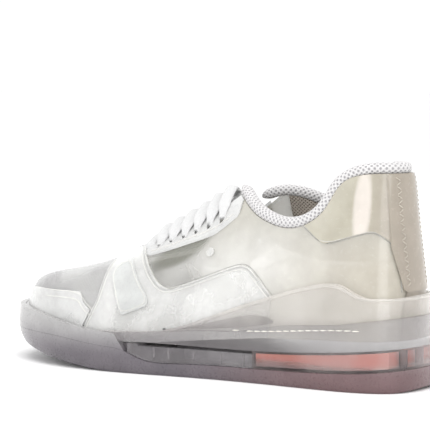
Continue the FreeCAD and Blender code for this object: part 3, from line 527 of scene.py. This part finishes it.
# Near-white arch inserts behind the saddles: partly a real white insert, partly a painted highlight
# for the softbox's bright reflection on the flat side panel.
film("white_insert_and_highlight", (0.97, 0.97, 0.96), (0.94, 0.94, 0.93), 0.97, 1.0, 0.45)
knit("binding_knit", (0.64, 0.63, 0.63), (0.34, 0.33, 0.34))
knit("tip_knit", (0.52, 0.53, 0.50), (0.36, 0.37, 0.35), cell=2.2)
knit("lining_knit", (0.46, 0.41, 0.36), (0.13, 0.11, 0.09), cell=2.4, stretch=1.1)
knit("vamp_knit", (0.58, 0.57, 0.56), (0.34, 0.33, 0.33), cell=2.2, stretch=1.3)
webbing("lace_weave", (0.68, 0.68, 0.68), (0.50, 0.50, 0.50))
plain_cloth("board_weave", (0.80, 0.79, 0.76), (0.70, 0.69, 0.66))
plain_cloth("insole_cloth", (0.70, 0.68, 0.64), (0.60, 0.58, 0.54))
plain_cloth("thread_cloth", (0.84, 0.82, 0.77), (0.72, 0.69, 0.62), 2400.0, 0.0001)
plain_cloth("tonal_thread", (0.60, 0.56, 0.48), (0.46, 0.42, 0.36), 2400.0, 0.0001)

NODE_MATERIALS = {
    "outsole": "smoke_rubber", "toe_bumper": "smoke_rubber", "midsole": "midsole_plastic",
    "shank_plate": "smoke_plate", "air_unit": "air_skin", "air_unit_core": "air_core",
    "air_unit_posts": "dark_posts_and_shade_wedges", "cupsole": "sole_plastic", "heel_cup": "cup_plastic",
    # The arch wings are dark sheets of painted shade under the heel cup's edge.
    "arch_wing_lateral": "dark_posts_and_shade_wedges", "arch_wing_medial": "dark_posts_and_shade_wedges",
    "strobel_board": "board_weave", "toe_box": "toe_panel", "vamp_lining": "vamp_knit",
    "toe_cap": "frosted_overlay", "quarter_lateral": "clear_panel",
    "quarter_medial": "clear_panel", "saddle_lateral": "frosted_overlay",
    "saddle_medial": "frosted_overlay", "side_patch_lateral": "patch_plastic",
    # The arch inserts' near-white is partly a painted highlight.
    "side_patch_medial": "patch_plastic", "arch_insert_lateral": "white_insert_and_highlight",
    "arch_insert_medial": "white_insert_and_highlight", "eyestay_lateral": "white_overlay",
    "eyestay_medial": "white_overlay", "side_rivets": "rivet_plastic",
    "heel_overlay_lateral": "heel_overlay", "heel_overlay_medial": "heel_overlay",
    "back_strip": "heel_overlay", "heel_counter": "clear_panel", "tongue_shell": "toe_panel",
}
for node_name, material_name in NODE_MATERIALS.items():
    node = NODES[node_name]
    node.data.materials.clear()
    node.data.materials.append(MATERIALS[material_name])

# ---------------------------------------------------------------- collar roll
TOPLINE = {
    "lateral": [(-118, 127.8), (-113, 127), (-105, 123.6), (-100, 117.8), (-96.5, 111),
                (-91.5, 104), (-85, 99), (-77, 95.6), (-66, 94.2), (-55, 96), (-42, 100.5),
                (-29, 108), (-19, 114.6)],
    "medial": [(-118, 127.2), (-112, 125.5), (-104, 119.3), (-97, 111.5), (-88, 105.4),
               (-78, 103.8), (-66, 105.4), (-58, 108), (-50, 110.8), (-41, 111.8),
               (-33, 110), (-25, 107)],
}
HEEL_TOP = 128.3
ROLL_RISE = 3.1                    # from the panels' edge to the middle of the roll
ROLL_HALF = (3.9, 3.5)             # half its thickness and half its height
KNIT_PITCH = 3.1
KNIT_CELLS = 7
KNIT_DEPTH = 0.36
ROLL_STEP = 0.45                   # from one ring of the roll to the next
ROLL_TAPER = 7                     # the length over which the roll's ends round off
ROLL_SQUARE = 0.85                 # under 1, its section is fuller than an ellipse
HEEL_REACH = 80                    # outside the heel's wall, from its turning point


def hole(u, v):
    """How deep the mesh is open here, from 0 to 1, in cells of the knit."""
    reach = min(math.hypot((u + o) % 1 - 0.5, (v + o) % 1 - 0.5) for o in (0.0, 0.5))
    t = min(max((reach - 0.13) / 0.14, 0), 1)
    return 1 - t * t * (3 - 2 * t)


def wall_middle(target, outer, inner):
    """The middle of a wall between the faces seen from outside and from inside."""
    hits = [cast(target, outer, inner), cast(target, inner, outer)]
    if None in hits:
        return None
    return (hits[0][0] + hits[1][0]) / 2


def collar_roll():
    """The padded mesh roll round the ankle opening."""
    wall = tree("collar_binding")
    line = []
    for side, sign in (("lateral", 1), ("medial", -1)):
        part = []
        for x, z in moved_aside(through(TOPLINE[side], 6), ROLL_RISE):
            middle = wall_middle(wall, at(x, sign * FAR, z), at(x, 0, z))
            if middle:
                part.append(middle)
        line = part[::-1] if sign == 1 else line + part
        if sign == 1:
            for angle in range(105, 256, 6):
                turn = math.radians(angle)
                x, y = HEEL_MIDDLE
                z = HEEL_TOP + ROLL_RISE
                middle = wall_middle(wall, at(x + HEEL_REACH * math.cos(turn),
                                              HEEL_REACH * math.sin(turn), z), at(x, y, z))
                if middle:
                    line.append(middle)
    line = evened(line, 6)
    line = evened([Vector(p) for p in spaced([tuple(p) for p in line], ROLL_STEP * MM)], 10)
    corners = KNIT_CELLS * 6
    rings, length = [], 0.0
    for index, spot in enumerate(line):
        run = (line[min(index + 1, len(line) - 1)] - line[max(index - 1, 0)]).normalized()
        out = run.cross(Vector((0, 0, 1))).normalized()
        up = out.cross(run).normalized()
        if up.z < 0:
            up = -up
        if index:
            length += (spot - line[index - 1]).length / MM
        near_end = min(index, len(line) - 1 - index) * ROLL_STEP
        size = min(1.0, 0.35 + 0.65 * math.sin(min(near_end / ROLL_TAPER, 1) * math.pi / 2))
        ring = []
        for k in range(corners):
            turn = 2 * math.pi * k / corners
            c, s = math.cos(turn), math.sin(turn)
            across = math.copysign(abs(c) ** ROLL_SQUARE, c) * ROLL_HALF[0]
            rise = math.copysign(abs(s) ** ROLL_SQUARE, s) * ROLL_HALF[1]
            sink = 1 - KNIT_DEPTH * hole(length / KNIT_PITCH, KNIT_CELLS * k / corners) / 3.3
            ring.append(spot + (out * across + up * rise) * size * sink * MM)
        rings.append(ring)
    points, faces, uvs = loft([rings], KNIT_PITCH, KNIT_CELLS)
    roll = faced_out(mesh_object("collar_roll", points, faces, uvs))
    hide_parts("collar_binding")
    finished(roll, "binding_knit")


# ---------------------------------------------------------------- cushions
BACKING_REACH = 1.6                # vertices this near to the backing are held by it
CLOTH_FRAMES = 20
CLOTH_STIFFNESS = 12
CLOTH_PRESSURE = 4


def cushion(name, nodes, voxel, held, body, material_name, puff=1.4, grown=1):
    """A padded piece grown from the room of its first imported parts: remeshed fine, blown up as
    cloth with its backing held, and limited to puff millimetres of swell."""
    shape = bmesh.new()
    for node_name in nodes[:grown]:
        shape.from_mesh(NODES[node_name].data)
    bmesh.ops.remove_doubles(shape, verts=shape.verts, dist=0.01 * MM)
    mesh = bpy.data.meshes.new(name)
    shape.to_mesh(mesh)
    shape.free()
    obj = bpy.data.objects.new(name, mesh)
    SCENE.collection.objects.link(obj)
    remesh = obj.modifiers.new("Remesh", "REMESH")
    remesh.mode = "VOXEL"
    remesh.voxel_size = voxel * MM
    smooth = obj.modifiers.new("Smooth", "SMOOTH")
    smooth.factor = 0.5
    smooth.iterations = 3
    applied(obj)
    before = [v.co.copy() for v in obj.data.vertices]
    backing = tree(*held)
    group = obj.vertex_groups.new(name="held")
    for vertex in obj.data.vertices:
        near = backing.find_nearest(vertex.co, BACKING_REACH * MM)[0]
        if near is not None:
            group.add([vertex.index], 1.0, "REPLACE")
    cloth = obj.modifiers.new("Cloth", "CLOTH")
    cloth.settings.quality = 4
    cloth.settings.mass = 0.2
    cloth.settings.tension_stiffness = CLOTH_STIFFNESS
    cloth.settings.compression_stiffness = CLOTH_STIFFNESS
    cloth.settings.bending_stiffness = 1.0
    cloth.settings.use_pressure = True
    cloth.settings.uniform_pressure_force = CLOTH_PRESSURE
    cloth.settings.vertex_group_mass = "held"
    cloth.settings.effector_weights.gravity = 0
    cloth.collision_settings.use_self_collision = False
    for number in range(1, CLOTH_FRAMES + 1):
        SCENE.frame_set(number)
    applied(obj)
    SCENE.frame_set(1)
    for vertex, start in zip(obj.data.vertices, before):
        swell = vertex.co - start
        if swell.length > puff * MM:
            vertex.co = start + swell.normalized() * puff * MM
    subdivide = obj.modifiers.new("Subdivision", "SUBSURF")
    subdivide.levels = 1
    subdivide.render_levels = 1
    applied(obj)
    obj.data.polygons.foreach_set("use_smooth", [True] * len(obj.data.polygons))
    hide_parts(*nodes)
    return finished(obj, material_name, body)


def applied(obj):
    """The modifiers' result becomes the mesh."""
    bpy.context.view_layer.update()
    result = bpy.data.meshes.new_from_object(
        obj.evaluated_get(bpy.context.evaluated_depsgraph_get()))
    obj.modifiers.clear()
    obj.data = result


# ---------------------------------------------------------------- lace
LACE_ROWS = [44 - 9.6 * row for row in range(7)]
LACE_Y = {"lateral": 19.6, "medial": -23.4}
LACE_WIDTH = 7.4
LACE_THICK = 2.5
LACE_STEPS = 64                    # rings along each run
LACE_CORNERS = 28
LACE_DIVE = 3.2                    # the length over which an end goes down into its eyelet


def lace_runs():
    """(start, end, passes over) of each run of the lace, seen from above."""
    out, inn = LACE_Y["lateral"], LACE_Y["medial"]
    runs = [((LACE_ROWS[0], out), (LACE_ROWS[0], inn), False)]
    for front, rear in zip(LACE_ROWS, LACE_ROWS[1:]):
        runs.append(((front, out), (rear, inn), False))
        runs.append(((front, inn), (rear, out), True))
    return runs


def laces():
    """Thirteen puffed flat runs that cross over the tongue and dive into the eyelets."""
    band = tree("lace")
    rings_list = []
    for start, end, over in lace_runs():
        a, b = Vector((*start, 0)), Vector((*end, 0))
        run = (b - a).normalized()
        wander = random.uniform(-0.5, 0.5)
        roll = random.uniform(-0.10, 0.10)
        line = []
        length = (b - a).length
        for index in range(LACE_STEPS + 1):
            t = index / LACE_STEPS
            p = a + run * (length * t)
            p += Vector((-run.y, run.x, 0)) * wander * math.sin(math.pi * t)
            hit = from_above(band, p.x, p.y)
            line.append((p, hit[0].z / MM if hit else None))
        known = [z for _, z in line if z is not None]
        heights = [z if z is not None else known[0] for _, z in line]
        heights = evened(heights, 24)
        rings = []
        for index, (p, _) in enumerate(line):
            t = index / LACE_STEPS
            dive = max(0.0, 1 - min(t, 1 - t) * length / LACE_DIVE)
            z = heights[index] - LACE_THICK / 2 + (0.55 if over else -0.35)
            z += 0.9 * math.sin(math.pi * t) - 3.4 * dive * dive
            wide = LACE_WIDTH * (1 - 0.48 * dive) / 2
            ripple = 1 + 0.05 * math.sin(index * 1.9)
            aside = Vector((-run.y, run.x, 0))
            slope = roll * (1 - dive)
            ring = []
            for turn in turns(LACE_CORNERS):
                c, s = math.cos(turn), math.sin(turn)
                across = math.copysign(abs(c) ** 0.7, c) * wide
                rise = math.copysign(abs(s) ** 0.8, s) * LACE_THICK / 2
                rise *= (1.0 - 0.18 * abs(c)) * ripple
                q = p + aside * across
                ring.append(at(q.x, q.y, z + rise + across * slope))
            rings.append(ring)
        rings_list.append(rings)
    points, faces, uvs = loft(rings_list, 1.0, 2.0)
    obj = faced_out(mesh_object("lace_runs", points, faces, uvs))
    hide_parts("lace")
    finished(obj, "lace_weave")


# ---------------------------------------------------------------- seams and stitches
def side_line(target, side, points):
    """A side view line laid on the shoe's surface."""
    pairs = [from_side(target, side, x, z) for x, z in spaced(points, SEAM_STEP)]
    return settled([pair for pair in pairs if pair])


SADDLE_TOP = [(54, 80), (42, 73), (30, 61.5), (22, 55), (13, 52.5), (-34, 70.5), (-43, 69.5),
              (-61, 53)]
SADDLE_FRONT = [(66, 68), (63, 57), (62.8, 44), (69.8, 27)]
PATCH = [(43, 35.5), (26, 42.5), (28, 48), (36, 55.5), (51, 71), (59, 66.5), (58, 60),
         (53, 52.5), (47, 42)]
HEEL_LINE = [(-79, 97), (-94.5, 86), (-115, 92.5), (-124, 95), (-131, 90.5), (-136.5, 84)]
HEEL_SEAM_TURN = 29                # degrees from the back to the seam that runs down the heel
TOE_LINE = [(64, 36), (67, 38.5), (72.5, 42), (77, 48.2), (104, 48.2)]
TOE_FALL = 4.4                     # the toe line drops by this much at the tip
RIB_PLACES = (16, 6, -11, -30, -46)
CUP_LINE = [(14, 27.9), (2, 30.6), (-8, 33.6), (-20, 38), (-39, 45.3), (-53, 50), (-71, 55.8),
            (-88, 60.4), (-101, 62.9), (-110, 62.1), (-118, 58.2)]
CUP_BACK = 55.6                    # the cup's edge at the back of the heel
CUP_LIP = 0.9                      # the lip's middle lies this far under the edge
UPPER = ("quarter_{0}", "saddle_{0}", "heel_overlay_{0}", "eyestay_{0}", "toe_cap", "toe_box")


def seams():
    """Raised weld lines along the overlays' edges, in pairs where the panels are doubled, with thin
    grey lines of painted shade beside them.
    """
    for side, sign in SIDES.items():
        skin = tree(*(name.format(side) for name in UPPER))
        patch = tree("side_patch_" + side)
        saddle = eased(SADDLE_TOP)
        front = eased(SADDLE_FRONT)
        lines = [saddle, moved_aside(saddle, 2.3), front, moved_aside(front, -2.0)]
        bead_object("saddle_seams_" + side,
                    [tube_rings(side_line(skin, sign, line), 0.32, 0.3) for line in lines],
                    "seam_bead")
        # Grey lines of painted shade beside the white welds.
        lines = [moved_aside(saddle, 1.0), moved_aside(saddle, -0.8), moved_aside(front, -0.9)]
        bead_object("saddle_creases_" + side,
                    [tube_rings(side_line(skin, sign, line), 0.34, 0.2) for line in lines],
                    "seam_shade_line")
        ring = [from_side(patch, sign, x, z)
                for x, z in spaced(eased([tuple(p + (c - p) * 0.09 for p, c in zip(q, (43, 53)))
                                          for q in PATCH], closed=True), SEAM_STEP, True)[:-1]]
        bead_object("patch_bead_" + side,
                    [ring_loop([pair for pair in ring if pair], 0.38, 0.34)],
                    "seam_bead")
        heel = eased(HEEL_LINE)
        # The second line is a grey line of painted shade beside the heel weld.
        for name, gap, wide, high, colour in (("heel_seam_", 0.0, 0.34, 0.32, "seam_bead"),
                                              ("heel_shade_line_", 1.0, 0.32, 0.2, "seam_shade_line")):
            pairs = side_line(skin, sign, moved_aside(heel, gap))
            for z in range(80, 56, -2):
                pair = round_heel(skin, 180 - sign * (HEEL_SEAM_TURN + gap), z)
                if pair:
                    pairs.append(pair)
            bead_object(name + side, [tube_rings(settled(pairs, 6), wide, high)], colour)


def toe_seams():
    """The double bead round the toe, one line each side that meets in front."""
    skin = tree("toe_cap", "toe_box")
    rings_list = []
    for drop in (0.0, 4.0):
        pairs = []
        for sign in (-1, 1):
            part = [from_side(skin, sign, x, z - drop)
                    for x, z in spaced(eased(TOE_LINE), SEAM_STEP)]
            part = [pair for pair in part if pair]
            if sign == -1:
                pairs = part
                for angle in range(-70, 71, 3):
                    fall = TOE_FALL * math.cos(math.radians(angle * 9 / 7)) ** 2
                    pairs.append(round_toe(skin, angle, 48.2 - drop - fall))
            else:
                pairs += part[::-1]
        rings_list.append(tube_rings(settled([p for p in pairs if p], 8), 0.36, 0.32))
    bead_object("toe_seams", rings_list, "seam_bead")


BUMPER_LINE = [(44, 25.2), (67, 26.5), (87, 29.6), (106, 33), (128, 35.2), (150, 36)]
BUMPER_LOW = 30                    # a height at which rays meet the bumper's outer wall
WELT_BACK = 56                     # where the welt starts on each side of the toe
WELT_DROP = 1.0                    # the welt's middle lies this far under the bumper's top
WELT_HALF = 1.1                    # half of its height
WELT_WIDEST = 9.0                  # it stops where the gap is wider than this


def toe_welt():
    """The soft rubber welt that closes the gap between the toe bumper and the upper. Its width
    is found at each ring, by a ray back out from the upper to the bumper's inner wall."""
    upper, wall = tree("toe_box", "toe_cap", "cupsole"), tree("toe_bumper")
    x, y = TOE_MIDDLE
    ways = [(at(x + FAR * math.cos(turn), y + FAR * math.sin(turn), 0), at(x, y, 0))
            for turn in map(math.radians, range(-88, 89, 2))]
    back = [(at(place, FAR, 0), at(place, 0, 0)) for place in range(x, WELT_BACK, -2)]
    ways = [(Vector((a.x, -a.y, 0)), b) for a, b in back[::-1]] + ways + back
    gap = []
    for start, goal in ways:
        low = Vector((0, 0, BUMPER_LOW * MM))
        rim = cast(wall, start + low, goal + low)
        place = (rim[0] if rim else goal).x / MM
        lift = Vector((0, 0, (height_on(BUMPER_LINE, place) - WELT_DROP) * MM))
        inner = cast(upper, start + lift, goal + lift)
        outer = cast(wall, inner[0], start + lift) if inner else None
        if outer and (outer[0] - inner[0]).length < WELT_WIDEST * MM:
            gap.append((inner[0], outer[0]))
    gap = list(zip(evened([inner for inner, _ in gap], 4), evened([outer for _, outer in gap], 4)))
    rings = []
    for index, (inner, outer) in enumerate(gap):
        aside = outer - inner
        half = aside.length / 2 + 0.3 * MM
        size = min(1.0, 0.3 + 0.2 * min(index, len(gap) - 1 - index))
        rings.append([(inner + outer) / 2 + aside.normalized() * math.cos(turn) * half * size
                      + Vector((0, 0, math.sin(turn) * WELT_HALF * size * MM))
                      for turn in turns(10)])
    bead_object("toe_welt", [rings], "smoke_rubber")


def cup_rim():
    """The rounded lip along the top edge of the heel cup."""
    cup = tree("heel_cup")
    pairs = []
    for sign in (1, -1):
        part = [from_side(cup, sign, x, z - CUP_LIP)
                for x, z in spaced(through(CUP_LINE, 4), 1.1)]
        part = [pair for pair in part if pair]
        if sign == 1:
            pairs = part
            for angle in range(105, 256, 3):
                pairs.append(round_heel(cup, angle, CUP_BACK - CUP_LIP))
        else:
            pairs += part[::-1]
    rings = tube_rings(settled([p for p in pairs if p], 5), 0.85, 0.6)
    bead_object("cup_rim", [rings], "cup_plastic")


def stitch(pairs, radius):
    """One stitch: a thread that comes out of the surface, lies on it and goes back in."""
    rings = []
    last = len(pairs) - 1
    for index, (spot, normal) in enumerate(pairs):
        run = (pairs[min(index + 1, last)][0] - pairs[max(index - 1, 0)][0]).normalized()
        aside = run.cross(normal).normalized()
        sink = abs(2 * index / last - 1) ** 3 * 1.6 * radius
        middle = spot + normal * (radius * 0.7 - sink) * MM
        size = radius * (1 - 0.35 * abs(2 * index / last - 1) ** 2)
        twist = index * 0.9
        rings.append([middle + (aside * math.cos(turn + twist) + normal * math.sin(turn + twist))
                      * size * (1 + 0.12 * math.cos(2 * turn)) * MM
                      for turn in turns(8)])
    return rings


WALL_STITCHES = 17                 # on each side
WALL_STITCH_START = -124
WALL_STITCH_PITCH = 5.1
WALL_STITCH_LENGTH = 4.3


def sidewall_stitches():
    """Stitches along the cup sole, over the air window."""
    wall = tree("cupsole", "heel_cup")
    rings_list = []
    for sign in SIDES.values():
        for index in range(WALL_STITCHES):
            x = WALL_STITCH_START + index * WALL_STITCH_PITCH
            share = min(max((-x - 42) / 82, 0), 1)
            z = 31.8 + 5.0 * share * share * (3 - 2 * share)
            pairs = [from_side(wall, sign, x + WALL_STITCH_LENGTH * t / 6, z - 0.2 * t / 6)
                     for t in range(7)]
            if all(pairs):
                rings_list.append(stitch(pairs, 0.36))
    points, faces, uvs = loft(rings_list)
    obj = faced_out(mesh_object("sidewall_thread", points, faces, uvs))
    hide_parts("sidewall_stitching")
    finished(obj, "thread_cloth")


STRIP_COLUMN = 11.5                # from the strip's middle to each zigzag
STRIP_STITCHES = 24
STRIP_PITCH = 2.7
STRIP_LEAN = 1.5


def heel_stitches():
    """Two zigzag columns of thread down the back strip."""
    strip = tree("back_strip")
    rings_list = []
    for column in (-STRIP_COLUMN, STRIP_COLUMN):
        for index in range(STRIP_STITCHES):
            z = 62 + index * STRIP_PITCH
            lean = STRIP_LEAN if index % 2 else -STRIP_LEAN
            pairs = [from_rear(strip, column - lean + 2 * lean * t / 5, z + 2.2 * t / 5)
                     for t in range(6)]
            if all(pairs):
                rings_list.append(stitch(pairs, 0.3))
    points, faces, uvs = loft(rings_list)
    obj = faced_out(mesh_object("back_strip_thread", points, faces, uvs))
    finished(obj, "tonal_thread")


def midsole_ribs():
    """Upright ribs moulded in the clear wall under the arch."""
    wall = tree("midsole")
    rings_list = []
    for sign in SIDES.values():
        for x in RIB_PLACES:
            pairs = [from_side(wall, sign, x, 10.5 + 0.8 * step) for step in range(11)]
            pairs = [pair for pair in pairs if pair]
            if len(pairs) > 4:
                rings_list.append(tube_rings(pairs, 0.9, 0.55))
    bead_object("midsole_ribs", rings_list, "sole_plastic")


STAY_EDGE = {"lateral": [(39, 23.6), (13, 22.4), (-10, 21.9), (-22, 20)],
             "medial": [(39, -27.6), (13, -26.4), (-10, -25.9), (-22, -24)]}
EYELET_RADIUS = 2.3


def eyestay_seams():
    """A bead just inside each eyestay's lower edge and a collar round every lace hole."""
    for side in SIDES:
        stay = tree("eyestay_" + side)
        pairs = [from_above(stay, x, y) for x, y in spaced(through(STAY_EDGE[side], 6), SEAM_STEP)]
        rings_list = [tube_rings(settled([p for p in pairs if p]), 0.55, 0.45)]
        bead_object("eyestay_seam_" + side, rings_list, "seam_bead")
        rims = []
        for x in LACE_ROWS:
            turn_pairs = [from_above(stay, x + EYELET_RADIUS * math.cos(turn),
                                     LACE_Y[side] + EYELET_RADIUS * math.sin(turn))
                          for turn in turns(16)]
            if all(turn_pairs):
                rims.append(ring_loop(turn_pairs, 0.5, 0.42))
        bead_object("eyelet_rims_" + side, rims, "white_overlay")


# ---------------------------------------------------------------- build
collar_roll()
laces()
seams()
toe_seams()
toe_welt()
cup_rim()
sidewall_stitches()
heel_stitches()
eyestay_seams()
midsole_ribs()
for side_name in SIDES:
    cushion("collar_cushion_" + side_name,
            ["collar_pad_" + side_name, "collar_lining_" + side_name], 1.1,
            ["quarter_" + side_name], "shoe", "lining_knit")
cushion("tongue_cushion", ["tongue_padding", "tongue_lining"], 0.9, ["tongue_shell"], "tongue",
        "vamp_knit", 0.5)
cushion("tongue_roll", ["tongue_binding"], 0.7, ["tongue_shell"], "tongue", "tip_knit",
        0.4)
cushion("insole", ["footbed", "footbed_cover"], 1.6, ["strobel_board"], "footbed",
        "insole_cloth", 0.3, 2)

# ---------------------------------------------------------------- floor, light, camera
SHOE = (CAD_BOX[0] + CAD_BOX[1]) / 2


FLOOR_HALF = 30.0
FLOOR_DROP = 0.0002                # the floor lies just under the sole


def floor():
    """A level pale floor that runs far past the shoe on every side."""
    points, faces = [], []
    for y in (-FLOOR_HALF, -3.0, 0.0, 3.0, FLOOR_HALF):
        for column in range(5):
            points.append(Vector((FLOOR_HALF * (column / 2 - 1), y, -FLOOR_DROP)))
    for row in range(4):
        for column in range(4):
            base = row * 5 + column
            faces.append((base, base + 1, base + 6, base + 5))
    obj = mesh_object("floor", points, faces)
    g = Graph("pale_floor")
    MATERIALS["pale_floor"] = g.finish(
        Base_Color=g.mix(g.noise(3.0), (0.97, 0.97, 0.97), (0.98, 0.98, 0.98)), Roughness=0.9,
        Specular_IOR_Level=0.1)
    obj.data.materials.append(MATERIALS["pale_floor"])


def softbox(name, spot, size, power):
    light = bpy.data.lights.new(name, "AREA")
    light.shape = "RECTANGLE"
    light.size, light.size_y = size
    light.energy = power
    obj = bpy.data.objects.new(name, light)
    SCENE.collection.objects.link(obj)
    obj.location = SHOE + Vector(spot)
    obj.rotation_mode = "QUATERNION"
    obj.rotation_quaternion = (SHOE - obj.location).to_track_quat("-Z", "Y")


floor()
softbox("overhead", (-0.1, 0.2, 1.3), (1.2, 1.0), 9)
softbox("heel_strip", (-1.15, 0.75, 0.45), (0.6, 1.1), 6)
softbox("front_fill", (0.9, 1.2, 0.6), (0.9, 0.9), 4)

world = bpy.data.worlds.new("studio")
world.use_nodes = True
world.node_tree.nodes["Background"].inputs["Color"].default_value = (1, 1, 1, 1)
world.node_tree.nodes["Background"].inputs["Strength"].default_value = 1.04
SCENE.world = world
SCENE.view_settings.view_transform = "Standard"

AZIMUTH, ELEVATION = math.radians(214.186), math.radians(4.064)
DISTANCE = 1.2
FOCAL_PIXELS = 1875.2
FRAME_PIXELS = 430
camera = bpy.data.cameras.new("camera")
camera.sensor_width = 36
camera.lens = camera.sensor_width * FOCAL_PIXELS / FRAME_PIXELS
camera.clip_end = 50
viewer = bpy.data.objects.new("camera", camera)
SCENE.collection.objects.link(viewer)
back = Vector((math.sin(AZIMUTH) * math.cos(ELEVATION),
               -math.cos(AZIMUTH) * math.cos(ELEVATION), math.sin(ELEVATION)))
viewer.location = at(5.245, 0, 97.654) + back * DISTANCE
viewer.rotation_mode = "QUATERNION"
viewer.rotation_quaternion = (-back).to_track_quat("-Z", "Y")
SCENE.camera = viewer
